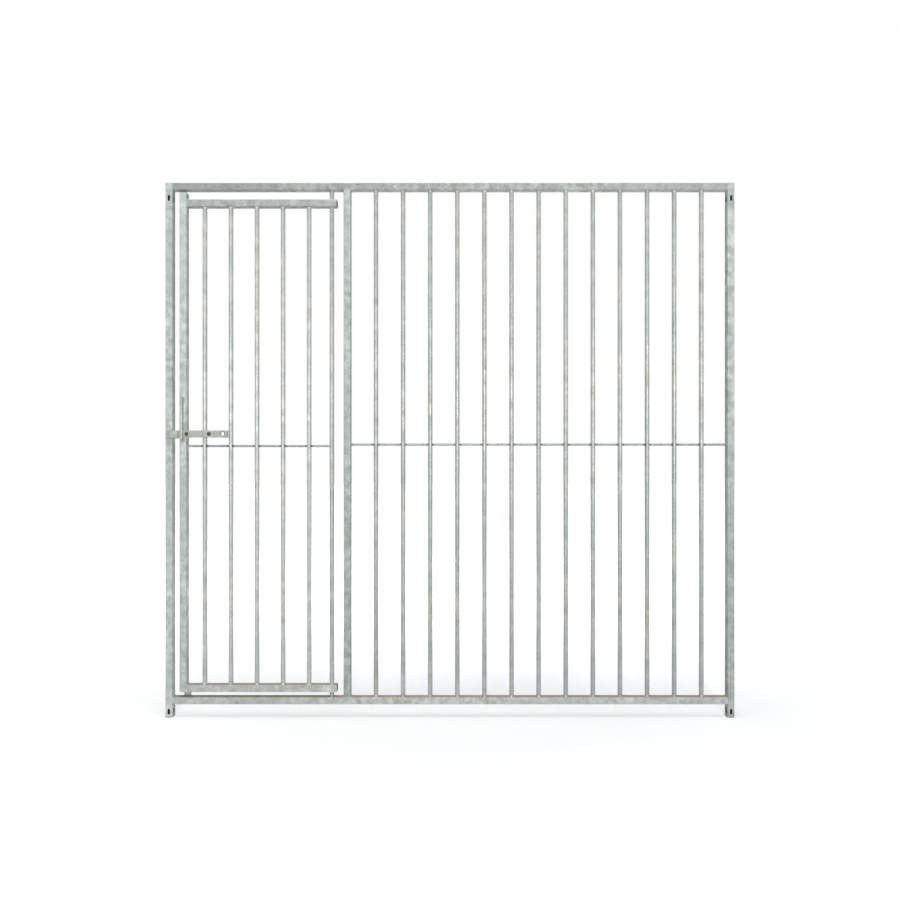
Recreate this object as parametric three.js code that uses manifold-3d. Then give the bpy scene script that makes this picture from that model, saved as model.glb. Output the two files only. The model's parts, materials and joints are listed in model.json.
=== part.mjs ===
// Galvanised bar panel with a hinged door, as used for a run of kennels or pens.
//
// Square tubes make a ladder-like frame of two full-height posts, two rails and a door post.
// Round bars fill it, and one thin tie rod threads through all of them at half height.
// The door hangs on a round bar that turns in holes drilled through the frame's rails.
// A flat drop latch turns on a bolt, slides up behind a staple, and rests in a cradle on the post.
//
// Millimetres. X runs to the right, Y away from the viewer and Z up. The working plane is the
// middle of the tubes; the group is then moved so that the origin is under the middle of the whole.

import * as THREE from 'three';
import { mergeVertices } from 'three/addons/utils/BufferGeometryUtils.js';
import Module from 'manifold-3d';

const wasm = await Module();
wasm.setup();

// ---------------------------------------------------------------- driving dimensions

// Frame
const panelWidth = 2000;
const panelHeight = 1880;
const legLength = 47; // feet of the posts below the bottom rail
const tubeSize = 25;
const tubeWall = 2;
const tubeCorner = 3; // outer corner radius of the square tube
const doorPostGap = 601; // clear opening between the left post and the door post

// Connection slots in the two outer posts
const slotWidth = 8;
const slotLength = 20;
const slotFromFoot = 22;
const slotFromTop = 54;

// Round bars
const barDiameter = 16;
const barWall = 1.5;
const panelBarCount = 13;
const weldLeg = 2.2; // how far a weld spreads round a bar's end
const weldRise = 4.5;

// Tie rods
const tieDiameter = 8;
const panelTieHeight = 960;
const doorTieHeight = 955;

// Door
const doorSideGap = 24; // left post to the door's stile
const doorBottomGap = 18; // bottom rail of the frame to the door
const doorTopGap = 33; // top rail of the door to the top rail of the frame
const stileTopGap = 9; // end of the stile to the top rail of the frame
const pivotFromPost = 43; // centre of the pivot bar to the door post
const railOverhang = 19; // door rails past the centre of the pivot bar
const doorBarCount = 5;
const doorBarInset = 60.7; // stile to the centre of the first door bar
const doorBarPitch = 92;
const pivotHoleClearance = 1;
const pivotTopEngagement = 13;
const tieSocketDepth = 3;

// Latch
const latchHeight = 997; // centre of the latch bar
const latchBarWidth = 25;
const latchBarThickness = 5;
const latchReachOverPost = 15; // end of the bar over the left post
const latchPivotFromBar = 22.8; // bolt to the second door bar
const latchTail = 15.5; // bar past the bolt
const latchEndRadius = 5;
const lockHoleDiameter = 15;
const lockHoleFromStile = 3.5; // inner edge of the stile to the centre of the first lock hole
const lockHoleSpacing = 78;
const plateThickness = 4;
const plateOverlap = 8; // plate past the centre of the first door bar
const plateEndInset = 4.5; // plate short of the centre of the second door bar
const boltDiameter = 8;
const boltHeadDiameter = 14.5;
const boltHeadHeight = 4.5;
const boltProjection = 2.5;
const washerDiameter = 18;
const washerThickness = 1.2;
const nutAcrossFlats = 13;
const nutThickness = 6.5;
const stapleDiameter = 8;
const stapleClearHeight = 140; // clear room for the latch bar between the staple's legs
const stapleBelowLatch = 6;
const stapleClearance = 1;
const stapleBend = 7;
const keeperThickness = 3;
const keeperInset = 5; // outer edge of the post to the keeper
const keeperSwingClearance = 1.5;
const keeperLipDrop = 1.7; // front lip below the top edge of the latch bar

// Door stop
const stopWidth = 24;
const stopThickness = 5;
const stopInset = 7; // stop in from the stile's outer edge
const stopOverlap = 22; // up and down over the two rails

// Fits
const fit = 0.3;
const roundSegments = 16;

// ---------------------------------------------------------------- derived positions

const halfTube = tubeSize / 2;
const barRadius = barDiameter / 2;
const leftEdge = -panelWidth / 2;
const rightEdge = panelWidth / 2;
const leftPostInner = leftEdge + tubeSize;
const rightPostInner = rightEdge - tubeSize;
const doorPostLeft = leftPostInner + doorPostGap;
const doorPostRight = doorPostLeft + tubeSize;
const bottomRailTop = legLength + tubeSize;
const topRailBottom = panelHeight - tubeSize;

const panelBarGap = (rightPostInner - doorPostRight - panelBarCount * barDiameter) / (panelBarCount + 1);
const panelBarPitch = panelBarGap + barDiameter;
const firstPanelBar = doorPostRight + panelBarGap + barRadius;

const stileLeft = leftPostInner + doorSideGap;
const stileRight = stileLeft + tubeSize;
const stileCentre = stileLeft + halfTube;
const pivotX = doorPostLeft - pivotFromPost;
const doorRailRight = pivotX + railOverhang;
const doorBottom = bottomRailTop + doorBottomGap;
const doorTop = topRailBottom - doorTopGap;
const doorBarBottom = doorBottom + tubeSize;
const doorBarTop = doorTop - tubeSize;
const firstDoorBar = stileRight + doorBarInset;

const frontFace = -halfTube;
const plateBack = -barRadius - fit;
const plateFront = plateBack - plateThickness;
const washerFront = plateFront - washerThickness;
const latchBack = washerFront - fit;
const latchFront = latchBack - latchBarThickness;
const boltHeadBack = latchFront - fit;
const nutBack = plateBack + nutThickness + fit;
const stapleY = latchFront - stapleClearance - stapleDiameter / 2;
const keeperFlangeBack = latchFront - fit;
const keeperFront = keeperFlangeBack - keeperThickness;

const latchLeft = leftPostInner - latchReachOverPost;
const latchPivotX = firstDoorBar + doorBarPitch - latchPivotFromBar;
const latchBottom = latchHeight - latchBarWidth / 2;
const latchTop = latchHeight + latchBarWidth / 2;
const firstLockHole = stileRight + lockHoleFromStile;
const stopBack = halfTube + fit + stopThickness;
const stapleFront = stapleY - stapleDiameter / 2;
const depthShift = -(stapleFront + stopBack) / 2;

// ---------------------------------------------------------------- solids

function toSolid(geometry) {
  const bare = geometry.clone();
  for (const name of Object.keys(bare.attributes)) {
    if (name !== 'position') {
      bare.deleteAttribute(name);
    }
  }
  const welded = mergeVertices(bare, 1e-5);
  return new wasm.Manifold(new wasm.Mesh({
    numProp: 3,
    vertProperties: new Float32Array(welded.attributes.position.array),
    triVerts: new Uint32Array(welded.index.array),
  }));
}

function toGeometry(solid) {
  const mesh = solid.getMesh();
  const geometry = new THREE.BufferGeometry();
  geometry.setAttribute('position', new THREE.BufferAttribute(mesh.vertProperties, 3));
  geometry.setIndex(new THREE.BufferAttribute(mesh.triVerts, 1));
  const flat = geometry.toNonIndexed();
  flat.computeVertexNormals();
  return flat;
}

function cut(geometry, cutters) {
  let solid = toSolid(geometry);
  for (const cutter of cutters) {
    solid = solid.subtract(toSolid(cutter));
  }
  return toGeometry(solid);
}

// A path round a rectangle with rounded corners, centred on its own origin.
function roundedRectangle(path, width, height, radius) {
  const x = width / 2 - radius;
  const y = height / 2 - radius;
  path.absarc(x, y, radius, 0, Math.PI / 2);
  path.absarc(-x, y, radius, Math.PI / 2, Math.PI);
  path.absarc(-x, -y, radius, Math.PI, 1.5 * Math.PI);
  path.absarc(x, -y, radius, 1.5 * Math.PI, 2 * Math.PI);
  path.closePath();
  return path;
}

// Square hollow section with open ends, running up Z from its own origin.
function squareTube(length) {
  const section = roundedRectangle(new THREE.Shape(), tubeSize, tubeSize, tubeCorner);
  const bore = tubeSize - 2 * tubeWall;
  const innerCorner = Math.max(tubeCorner - tubeWall, tubeWall / 4);
  section.holes.push(roundedRectangle(new THREE.Path(), bore, bore, innerCorner));
  return new THREE.ExtrudeGeometry(section, { depth: length, curveSegments: 3, bevelEnabled: false });
}

// The same section running along X from its own origin.
function railTube(length) {
  return squareTube(length).rotateY(Math.PI / 2);
}

// Round cutter along X, Y or Z, centred on a point.
function roundCutter(diameter, length, axis, x, y, z) {
  const cutter = new THREE.CylinderGeometry(diameter / 2, diameter / 2, length, roundSegments);
  if (axis === 'x') {
    cutter.rotateZ(Math.PI / 2);
  }
  if (axis === 'z') {
    cutter.rotateX(Math.PI / 2);
  }
  return cutter.translate(x, y, z);
}

// Upright slot with round ends, cut right through the tube along Y, or along X when turned.
function slotCutter(height, turned) {
  const outline = new THREE.Shape();
  const straight = (slotLength - slotWidth) / 2;
  outline.absarc(0, straight, slotWidth / 2, 0, Math.PI);
  outline.absarc(0, -straight, slotWidth / 2, Math.PI, 2 * Math.PI);
  outline.closePath();
  const depth = tubeSize + 2 * tubeWall;
  const cutter = new THREE.ExtrudeGeometry(outline, { depth, curveSegments: 6, bevelEnabled: false });
  cutter.translate(0, 0, -depth / 2);
  cutter.rotateX(Math.PI / 2);
  if (turned) {
    cutter.rotateZ(Math.PI / 2);
  }
  return cutter.translate(0, 0, height);
}

// Outer post: four slots near each end, through the front and back and through both sides.
function slottedPost() {
  const heights = [slotFromFoot, panelHeight - slotFromTop];
  const cutters = heights.flatMap((height) => [slotCutter(height, false), slotCutter(height, true)]);
  return cut(squareTube(panelHeight), cutters);
}

// Round tube whose ends flare into the weld, drilled across for the tie rod.
function weldedBar(length, tieHeight) {
  const inner = barRadius - barWall;
  const profile = [
    new THREE.Vector2(inner, 0),
    new THREE.Vector2(barRadius + weldLeg, 0),
    new THREE.Vector2(barRadius, weldRise),
    new THREE.Vector2(barRadius, length - weldRise),
    new THREE.Vector2(barRadius + weldLeg, length),
    new THREE.Vector2(inner, length),
    new THREE.Vector2(inner, 0),
  ];
  const tube = new THREE.LatheGeometry(profile, roundSegments).rotateX(Math.PI / 2);
  return cut(tube, [roundCutter(tieDiameter + 2 * fit, 2 * barDiameter, 'x', 0, 0, tieHeight)]);
}

function tieRod(length) {
  const rod = new THREE.CylinderGeometry(tieDiameter / 2, tieDiameter / 2, length, roundSegments);
  return rod.rotateZ(Math.PI / 2).translate(length / 2, 0, 0);
}

// Rod for the pivot: solid, with a socket in its side for the end of the door's tie rod.
function pivotRod(length, socketHeight) {
  const rod = new THREE.CylinderGeometry(barRadius, barRadius, length, roundSegments);
  rod.rotateX(Math.PI / 2).translate(0, 0, length / 2);
  const socketX = -barRadius + tieSocketDepth - barRadius / 2;
  return cut(rod, [roundCutter(tieDiameter + 2 * fit, barRadius, 'x', socketX, 0, socketHeight)]);
}

// Staple: one bent rod with both legs turned back to the stile.
function stapleRod() {
  const low = latchBottom - stapleBelowLatch - stapleDiameter / 2;
  const high = low + stapleClearHeight + stapleDiameter;
  const points = [
    new THREE.Vector3(stileCentre, frontFace, low),
    new THREE.Vector3(stileCentre, stapleY + stapleBend, low),
    new THREE.Vector3(stileCentre, stapleY, low),
    new THREE.Vector3(stileCentre, stapleY, low + stapleBend),
    new THREE.Vector3(stileCentre, stapleY, high - stapleBend),
    new THREE.Vector3(stileCentre, stapleY, high),
    new THREE.Vector3(stileCentre, stapleY + stapleBend, high),
    new THREE.Vector3(stileCentre, frontFace, high),
  ];
  const path = new THREE.CurvePath();
  path.add(new THREE.LineCurve3(points[0], points[1]));
  path.add(new THREE.QuadraticBezierCurve3(points[1], points[2], points[3]));
  path.add(new THREE.LineCurve3(points[3], points[4]));
  path.add(new THREE.QuadraticBezierCurve3(points[4], points[5], points[6]));
  path.add(new THREE.LineCurve3(points[6], points[7]));
  const section = new THREE.Shape().absarc(0, 0, stapleDiameter / 2, 0, 2 * Math.PI);
  return new THREE.ExtrudeGeometry(section, { steps: 36, curveSegments: 5, extrudePath: path });
}

// Flat bar standing on edge in the XZ plane, from x0 to x1, with round holes through it.
function flatBar(x0, x1, height, back, thickness, radius, holes) {
  const outline = roundedRectangle(new THREE.Shape(), x1 - x0, height, radius);
  const centre = (x0 + x1) / 2;
  for (const hole of holes) {
    outline.holes.push(new THREE.Path().absarc(hole.x - centre, 0, hole.diameter / 2, 0, 2 * Math.PI));
  }
  const plate = new THREE.ExtrudeGeometry(outline, {
    depth: thickness,
    curveSegments: 8,
    bevelEnabled: false,
  });
  return plate.rotateX(Math.PI / 2).translate(centre, back, latchHeight);
}

// Cradle: a floor out from the post and a lip up in front of the latch bar.
function keeperBracket(length) {
  const floorTop = latchBottom - fit;
  const lipTop = latchTop - keeperLipDrop;
  const bend = keeperThickness * 1.5;
  const profile = new THREE.Shape();
  profile.moveTo(frontFace, floorTop);
  profile.lineTo(keeperFlangeBack, floorTop);
  profile.lineTo(keeperFlangeBack, lipTop);
  profile.lineTo(keeperFront, lipTop);
  profile.lineTo(keeperFront, floorTop - keeperThickness + bend);
  profile.absarc(keeperFront + bend, floorTop - keeperThickness + bend, bend, Math.PI, 1.5 * Math.PI);
  profile.lineTo(frontFace, floorTop - keeperThickness);
  profile.closePath();
  const bracket = new THREE.ExtrudeGeometry(profile, {
    depth: length,
    curveSegments: 4,
    bevelEnabled: false,
  });
  return bracket.rotateX(Math.PI / 2).rotateZ(Math.PI / 2);
}

// Domed bolt along Y: the head in front, the shank running back from it.
function domedBolt() {
  const shank = boltDiameter / 2;
  const head = boltHeadDiameter / 2;
  const length = nutBack + boltProjection - boltHeadBack;
  const profile = [
    new THREE.Vector2(0, -boltHeadHeight),
    new THREE.Vector2(head * 0.45, -boltHeadHeight * 0.9),
    new THREE.Vector2(head * 0.8, -boltHeadHeight * 0.6),
    new THREE.Vector2(head, -boltHeadHeight * 0.15),
    new THREE.Vector2(head, 0),
    new THREE.Vector2(shank, 0),
    new THREE.Vector2(shank, length - 1),
    new THREE.Vector2(shank - 1, length),
    new THREE.Vector2(0, length),
  ];
  return new THREE.LatheGeometry(profile, roundSegments);
}

// Ring or hexagon with a bolt hole, along Y from its own origin.
function boltRing(sides, outerRadius, thickness) {
  const outline = new THREE.Shape();
  for (let i = 0; i < sides; i += 1) {
    const angle = (i * 2 * Math.PI) / sides;
    const corner = [outerRadius * Math.cos(angle), outerRadius * Math.sin(angle)];
    if (i === 0) {
      outline.moveTo(...corner);
    } else {
      outline.lineTo(...corner);
    }
  }
  outline.closePath();
  outline.holes.push(new THREE.Path().absarc(0, 0, boltDiameter / 2 + fit, 0, 2 * Math.PI));
  const ring = new THREE.ExtrudeGeometry(outline, {
    depth: thickness,
    curveSegments: 8,
    bevelEnabled: false,
  });
  return ring.rotateX(-Math.PI / 2);
}

// ---------------------------------------------------------------- assembly

const panel = new THREE.Group();
panel.position.y = depthShift;

const frame = new THREE.Group();
const door = new THREE.Group();
const latch = new THREE.Group();
panel.add(frame, door, latch);

function addPart(group, name, geometry, x, y, z, color = 0xb4bab7, roughness = 0.5) {
  const material = new THREE.MeshStandardMaterial({ color, roughness, metalness: 0.75 });
  const mesh = new THREE.Mesh(geometry, material);
  mesh.name = name;
  mesh.position.set(x, y, z);
  group.add(mesh);
}

// Frame: posts and rails
addPart(frame, 'left_post', slottedPost(), leftEdge + halfTube, 0, 0);
addPart(frame, 'right_post', slottedPost(), rightEdge - halfTube, 0, 0);
const doorPost = squareTube(topRailBottom - bottomRailTop);
addPart(frame, 'door_post', doorPost, doorPostLeft + halfTube, 0, bottomRailTop);

const railLength = rightPostInner - leftPostInner;
const pivotHole = barDiameter + 2 * pivotHoleClearance;
const pivotAlongRail = pivotX - leftPostInner;
const topRail = cut(railTube(railLength), [
  roundCutter(pivotHole, tubeSize, 'z', pivotAlongRail, 0, -halfTube),
]);
const bottomRail = cut(railTube(railLength), [
  roundCutter(pivotHole, tubeSize, 'z', pivotAlongRail, 0, halfTube),
]);
addPart(frame, 'top_rail', topRail, leftPostInner, 0, topRailBottom + halfTube);
addPart(frame, 'bottom_rail', bottomRail, leftPostInner, 0, legLength + halfTube);

// Frame: infill bars and their tie rod
const panelBar = weldedBar(topRailBottom - bottomRailTop, panelTieHeight - bottomRailTop);
for (let i = 0; i < panelBarCount; i += 1) {
  const name = `panel_bar_${String(i + 1).padStart(2, '0')}`;
  const x = firstPanelBar + i * panelBarPitch;
  addPart(frame, name, panelBar.clone(), x, 0, bottomRailTop, 0xc2c6c4, 0.45);
}
addPart(frame, 'panel_tie_rod', tieRod(rightPostInner - doorPostRight), doorPostRight, 0, panelTieHeight);

// Frame: keeper and door stop
const keeperLeft = leftEdge + keeperInset;
const keeperLength = stileLeft - keeperSwingClearance - keeperLeft;
addPart(frame, 'latch_keeper', keeperBracket(keeperLength), keeperLeft, 0, 0);

const stopHeight = doorBottomGap + 2 * stopOverlap;
const stopPlate = new THREE.BoxGeometry(stopWidth, stopThickness, stopHeight);
const stopX = stileLeft + stopInset + stopWidth / 2;
const stopZ = bottomRailTop - stopOverlap + stopHeight / 2;
addPart(frame, 'door_stop', stopPlate, stopX, stopBack - stopThickness / 2, stopZ, 0xa9aea6, 0.55);

// Door: stile and rails
const stileLength = topRailBottom - stileTopGap - doorBottom;
addPart(door, 'door_stile', squareTube(stileLength), stileCentre, 0, doorBottom);
const doorRail = cut(railTube(doorRailRight - stileRight), [
  roundCutter(barDiameter + 2 * fit, 2 * tubeSize, 'z', pivotX - stileRight, 0, 0),
]);
addPart(door, 'door_top_rail', doorRail.clone(), stileRight, 0, doorTop - halfTube);
addPart(door, 'door_bottom_rail', doorRail, stileRight, 0, doorBottom + halfTube);

// Door: bars, pivot and tie rod
const doorBar = weldedBar(doorBarTop - doorBarBottom, doorTieHeight - doorBarBottom);
for (let i = 0; i < doorBarCount; i += 1) {
  const x = firstDoorBar + i * doorBarPitch;
  addPart(door, `door_bar_${i + 1}`, doorBar.clone(), x, 0, doorBarBottom, 0xc2c6c4, 0.45);
}
const pivotBottom = legLength + tubeWall + fit;
const pivotTop = topRailBottom + tubeWall + pivotTopEngagement;
const pivot = pivotRod(pivotTop - pivotBottom, doorTieHeight - pivotBottom);
addPart(door, 'door_pivot_bar', pivot, pivotX, 0, pivotBottom, 0xbcc1bf, 0.45);
const doorTieEnd = pivotX - barRadius + tieSocketDepth - fit;
addPart(door, 'door_tie_rod', tieRod(doorTieEnd - stileRight), stileRight, 0, doorTieHeight);

// Door: what carries and guides the latch
addPart(door, 'latch_staple', stapleRod(), 0, 0, 0, 0xc4c6c0, 0.45);
const boltHole = { x: latchPivotX, diameter: boltDiameter + 2 * fit };
const plateLeft = firstDoorBar - plateOverlap;
const plateRight = firstDoorBar + doorBarPitch - plateEndInset;
const pivotPlate = flatBar(plateLeft, plateRight, latchBarWidth, plateBack, plateThickness, 1.5, [boltHole]);
addPart(door, 'latch_pivot_plate', pivotPlate, 0, 0, 0);
addPart(door, 'latch_bolt', domedBolt(), latchPivotX, boltHeadBack, latchHeight, 0xd2d3cc, 0.35);
const washer = boltRing(2 * roundSegments, washerDiameter / 2, washerThickness);
addPart(door, 'latch_washer', washer, latchPivotX, washerFront, latchHeight, 0xc8cac6, 0.4);
const nut = boltRing(6, nutAcrossFlats / Math.sqrt(3), nutThickness);
addPart(door, 'latch_nut', nut, latchPivotX, nutBack - nutThickness, latchHeight, 0xc8cac6, 0.4);

// Latch bar
const latchRight = latchPivotX + latchTail;
const latchHoles = [
  { x: firstLockHole, diameter: lockHoleDiameter },
  { x: firstLockHole + lockHoleSpacing, diameter: lockHoleDiameter },
  boltHole,
];
const latchBar = flatBar(
  latchLeft, latchRight, latchBarWidth, latchBack, latchBarThickness, latchEndRadius, latchHoles,
);
addPart(latch, 'latch_bar', latchBar, 0, 0, 0, 0xb3b6ad, 0.5);

export default panel;
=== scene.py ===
# %% [markdown]
# # A galvanised pen panel with a hinged door
#
# The object is a two metre wide steel partition: square tubes for the frame, upright round bars,
# and a narrow door with a drop latch. The whole of it was welded first and then dipped in molten
# zinc, so one grey, mottled skin covers tubes, bars and welds alike. The CAD model already has the
# true sizes. This lesson gives it what the zinc bath and the welder left behind: round bars that
# are really round, beads of weld, runs of zinc, softened edges and a believable surface.

import json
import math

import bmesh
import bpy
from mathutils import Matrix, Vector


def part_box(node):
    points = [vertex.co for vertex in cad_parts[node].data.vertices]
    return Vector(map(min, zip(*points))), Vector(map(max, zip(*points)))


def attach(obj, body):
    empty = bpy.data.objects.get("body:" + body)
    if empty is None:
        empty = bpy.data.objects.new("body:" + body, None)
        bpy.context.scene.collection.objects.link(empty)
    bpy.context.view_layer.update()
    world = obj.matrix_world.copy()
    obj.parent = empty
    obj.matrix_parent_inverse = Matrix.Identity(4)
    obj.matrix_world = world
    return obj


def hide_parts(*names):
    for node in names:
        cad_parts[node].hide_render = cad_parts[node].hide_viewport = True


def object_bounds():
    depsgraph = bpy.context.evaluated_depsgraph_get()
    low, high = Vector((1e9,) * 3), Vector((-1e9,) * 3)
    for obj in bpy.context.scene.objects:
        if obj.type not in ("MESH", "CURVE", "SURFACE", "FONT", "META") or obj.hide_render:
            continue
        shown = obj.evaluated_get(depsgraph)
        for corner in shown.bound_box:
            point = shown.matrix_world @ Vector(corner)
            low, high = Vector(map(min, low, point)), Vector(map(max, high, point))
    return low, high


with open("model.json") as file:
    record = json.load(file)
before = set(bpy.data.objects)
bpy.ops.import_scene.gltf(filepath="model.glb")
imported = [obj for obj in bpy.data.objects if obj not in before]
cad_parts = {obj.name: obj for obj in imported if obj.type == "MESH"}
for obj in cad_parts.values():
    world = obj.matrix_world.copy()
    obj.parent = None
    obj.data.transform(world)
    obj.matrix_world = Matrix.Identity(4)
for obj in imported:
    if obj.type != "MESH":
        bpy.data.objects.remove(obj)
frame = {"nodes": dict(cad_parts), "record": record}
cad_box = [list(corner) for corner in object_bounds()]
print("CAD box in metres:", [[round(v, 4) for v in corner] for corner in cad_box])

# %% [markdown]
# ## Sizes
#
# Blender works in metres, and a workshop drawing in millimetres. One small value keeps the numbers
# below readable as a drawing. Places are read from the CAD nodes wherever they can be, so the
# pieces made here sit exactly where the steel sits.

# %% Millimetres, and where the main pieces lie
MM = 0.001


def node_box(name):
    low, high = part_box(name)
    return Vector(low), Vector(high)


post_low, post_high = node_box("left_post")
front_y = post_low.y
back_y = post_high.y
middle_y = (front_y + back_y) / 2
print("tube front and back:", round(front_y, 4), round(back_y, 4))


# %% [markdown]
# ## Camera
#
# The photograph looks at the middle of the panel, square on and from close by: the inner sides of
# both posts, the underside of the top rail and the top of the bottom rail all show as narrow
# strips. A strip of 25 mm that shows as 3 pixels at the edge of a 570 pixel wide panel puts the
# lens about 2.2 m away. The focal length then follows from the width that the panel fills.

# %% The camera
PANEL_SHARE = 569.5 / 900
VIEW_DISTANCE = 2.2
VIEW_HEIGHT = 0.941
SENSOR = 36
panel_width = cad_box[1][0] - cad_box[0][0]
camera_data = bpy.data.cameras.new("photo_camera")
camera_data.sensor_width = SENSOR
camera_data.lens = SENSOR * VIEW_DISTANCE / (panel_width / PANEL_SHARE)
camera = bpy.data.objects.new("photo_camera", camera_data)
camera.location = (0, front_y - VIEW_DISTANCE, VIEW_HEIGHT)
camera.rotation_euler = (math.radians(90), 0, 0)
bpy.context.scene.collection.objects.link(camera)
bpy.context.scene.camera = camera
print("lens in mm:", round(camera_data.lens, 2))


# %% [markdown]
# ## One function for nodes, one for colours
#
# Shaders and Geometry Nodes are both made of nodes, so one function serves them: it adds a node,
# applies its settings, and then fills each input with a value or links a socket to it. A node given
# as a value stands for its first output. Colours are written as they look on a screen, in sRGB hex,
# and turned to the linear values that Blender uses.

# %% Helpers for node trees and colours
def add_node(tree, kind, settings=None, inputs=None):
    node = tree.nodes.new(kind)
    for name, value in (settings or {}).items():
        setattr(node, name, value)
    for key, value in (inputs or {}).items():
        if isinstance(value, bpy.types.Node):
            value = value.outputs[0]
        if isinstance(value, bpy.types.NodeSocket):
            tree.links.new(value, node.inputs[key])
        else:
            node.inputs[key].default_value = value
    return node


def linear(hex_colour):
    values = [int(hex_colour[i : i + 2], 16) / 255 for i in (1, 3, 5)]
    return [v / 12.92 if v <= 0.04045 else ((v + 0.055) / 1.055) ** 2.4 for v in values] + [1.0]


# Settings that come back in many of the trees.
TIMES = {"operation": "MULTIPLY"}
MINUS = {"operation": "SUBTRACT"}
SCALED = {"operation": "SCALE"}
SMOOTH = {"interpolation_type": "SMOOTHSTEP"}
print("a zinc grey in linear light:", [round(v, 3) for v in linear("#B9BFBB")])

# %% [markdown]
# ## Light, floor and background
#
# The light in the photograph comes from behind the camera, a little from the right and from above:
# bars are brightest just right of their middle and darkest along their left edge, and the staple
# throws a narrow shadow straight back onto the stile. One lamp far off does that. A second one
# overhead brightens the upper half, and a third stands for the light that the ground throws up at
# the undersides of the rails. A faint blue sky fills the shades. The white background comes from
# Light Path, so it adds no light to the steel, and the floor keeps a faint shadow.

# %% Lamps
scene = bpy.context.scene
scene.view_settings.view_transform = "Standard"


def soft_lamp(name, place, aim, width, height, power):
    lamp = bpy.data.lights.new(name, "AREA")
    lamp.shape = "RECTANGLE"
    lamp.size = width
    lamp.size_y = height
    lamp.energy = power
    holder = bpy.data.objects.new(name, lamp)
    holder.location = place
    holder.rotation_euler = (Vector(aim) - Vector(place)).to_track_quat("-Z", "Y").to_euler()
    scene.collection.objects.link(holder)
    return holder


soft_lamp("front_softbox", (0.5, -8.0, 1.8), (0, 0, 0.94), 1.3, 1.6, 445)
soft_lamp("ceiling_softbox", (-0.4, -0.5, 4.2), (0, 0, 0.6), 3.0, 1.2, 60)
ground_bounce = soft_lamp("ground_bounce", (0, 1.4, 0.15), (0, 0, 1.9), 2.6, 0.5, 14)
ground_bounce.data.color = (0.88, 0.94, 1.0)
ground_bounce.visible_camera = False


# %% The white background and the floor
def seen_directly(tree):
    path = add_node(tree, "ShaderNodeLightPath").outputs
    shown = path["Is Camera Ray"]
    for ray in ("Is Glossy Ray", "Is Transmission Ray"):
        shown = add_node(tree, "ShaderNodeMath", {"operation": "MAXIMUM"}, {0: shown, 1: path[ray]})
    return shown


world = bpy.data.worlds.new("white_studio")
world.use_nodes = True
scene.world = world
sky = world.node_tree
sky.nodes.clear()
lit = add_node(sky, "ShaderNodeBackground", None, {"Color": (0.86, 0.93, 1.0, 1), "Strength": 0.2})
white = add_node(sky, "ShaderNodeBackground", None, {"Color": (1, 1, 1, 1), "Strength": 1.0})
backdrop = add_node(sky, "ShaderNodeMixShader", None, {0: seen_directly(sky), 1: lit, 2: white})
add_node(sky, "ShaderNodeOutputWorld", None, {"Surface": backdrop})

floor_paint = bpy.data.materials.new("pale_studio_floor")
floor_paint.use_nodes = True
floor_tree = floor_paint.node_tree
floor_tree.nodes.clear()
matte = add_node(floor_tree, "ShaderNodeBsdfDiffuse", None, {"Color": linear("#DDDDDD")})
floor_place = add_node(floor_tree, "ShaderNodeTexCoord").outputs["Object"]
narrowed = add_node(floor_tree, "ShaderNodeVectorMath", TIMES, {0: floor_place, 1: (0.4, 1, 0)})
from_middle = add_node(floor_tree, "ShaderNodeVectorMath", {"operation": "LENGTH"}, {0: narrowed})
fade = add_node(
    floor_tree, "ShaderNodeMapRange", None,
    {"Value": from_middle.outputs["Value"], "From Min": 0.25, "From Max": 1.6, "To Min": 0.5},
)
lift = add_node(floor_tree, "ShaderNodeMath", TIMES, {0: seen_directly(floor_tree), 1: fade})
glow = add_node(floor_tree, "ShaderNodeEmission", None, {"Strength": lift})
floor_mix = add_node(floor_tree, "ShaderNodeAddShader", None, {0: matte, 1: glow})
add_node(floor_tree, "ShaderNodeOutputMaterial", None, {"Surface": floor_mix})

bpy.ops.mesh.primitive_plane_add(size=30)
floor = bpy.context.object
floor.name = "studio_floor"
floor.data.materials.append(floor_paint)
print("floor and backdrop are white")


# %% [markdown]
# ## Hot-dip galvanised steel
#
# Steel that was dipped in zinc at 450 degrees comes out with a skin about 0.08 mm thick. Fresh, it
# is bright and crystalline. After a few weeks it dulls to a soft grey patina that is nearly all
# oxide, with cloudy patches a few centimetres across and faint crystals a few millimetres wide.
# Three patterns make it: broad clouds, small crystals, and runs that the zinc left as it drained.
# A Noise texture's scale is one over the size of its pattern, so sizes stay in millimetres. Faces that
# look up take a brown tint in patches, so the surface's normal decides where it lies.

# %% Marks on the zinc
def size_to_scale(millimetres):
    return 1 / (millimetres * MM)


def cloudy(tree, place, size_mm, detail, values, results, roughness=0.5):
    noise = add_node(
        tree, "ShaderNodeTexNoise", None,
        {"Vector": place, "Scale": size_to_scale(size_mm), "Detail": detail, "Roughness": roughness},
    )
    steps = {"Value": noise.outputs["Fac"], "From Min": values[0], "From Max": values[1]}
    return add_node(
        tree, "ShaderNodeMapRange", None, {**steps, "To Min": results[0], "To Max": results[1]}
    )


def darkened_spot(tree, place, centre, counted, radius, darkest):
    weighted_place = add_node(tree, "ShaderNodeVectorMath", TIMES, {0: place, 1: counted})
    weighted_centre = [v * weight * MM for v, weight in zip(centre, counted)]
    away = add_node(
        tree, "ShaderNodeVectorMath", {"operation": "DISTANCE"},
        {0: weighted_place, 1: weighted_centre},
    )
    rim = {"From Min": radius * 0.75 * MM, "From Max": radius * 1.1 * MM, "To Min": darkest}
    return add_node(tree, "ShaderNodeMapRange", SMOOTH, {"Value": away.outputs["Value"], **rim})


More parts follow.
